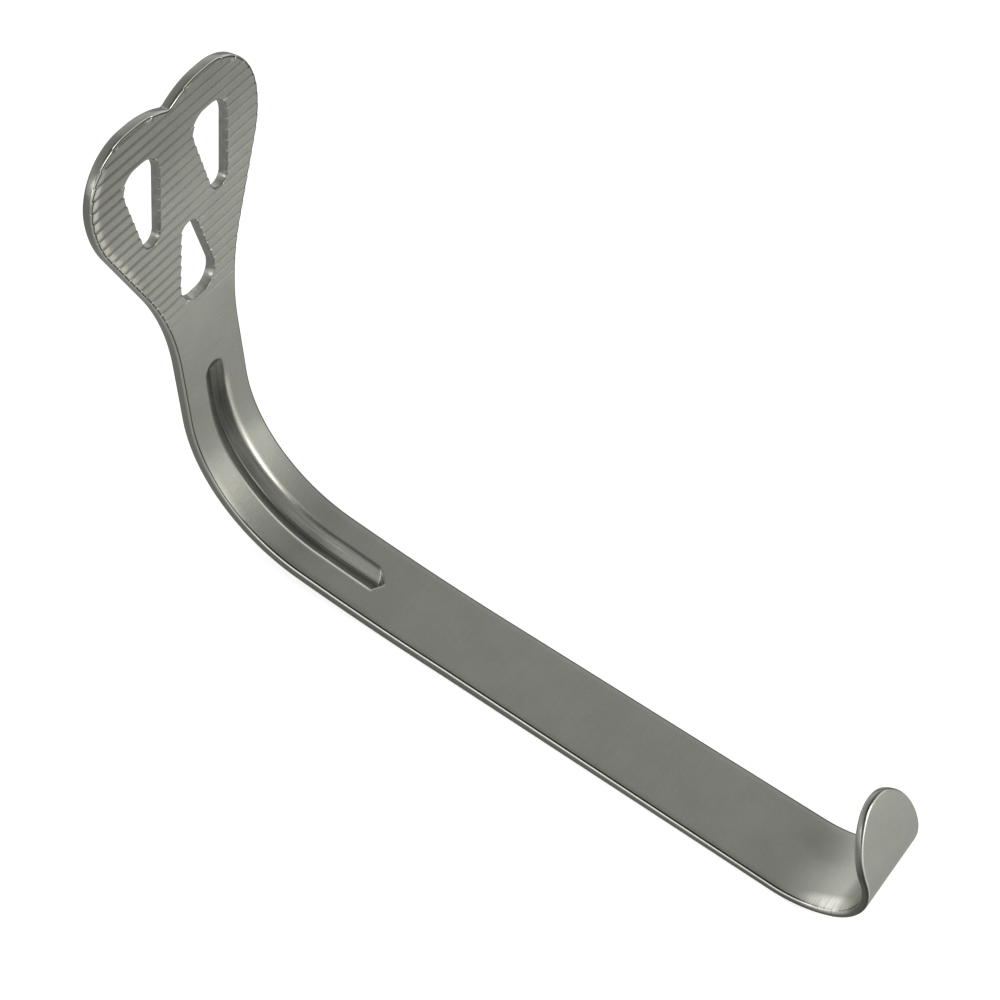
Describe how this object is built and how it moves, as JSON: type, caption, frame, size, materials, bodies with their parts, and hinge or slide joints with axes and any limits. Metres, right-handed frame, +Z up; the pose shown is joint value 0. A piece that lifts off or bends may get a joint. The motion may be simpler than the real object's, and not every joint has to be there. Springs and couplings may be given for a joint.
{
  "type": "handheld surgical retractor",
  "caption": "Hand-held retractor bent from one steel strip: heart-shaped ridged blade with drop-shaped holes, grooved bend, flat handle and hooked finger end.",
  "frame": {"origin": "middle of the underside of the whole part's box; the flat underside of the handle lies in Z = 0", "axes": "+X along the handle from the blade to the hook, +Y across the strip, +Z up"},
  "size_m": [0.1028, 0.0282, 0.0576],
  "materials": {
    "steel": "satin, polished at the edges"
  },
  "bodies": {
    "root": {"retractor": "steel"}
  },
  "joints": []
}
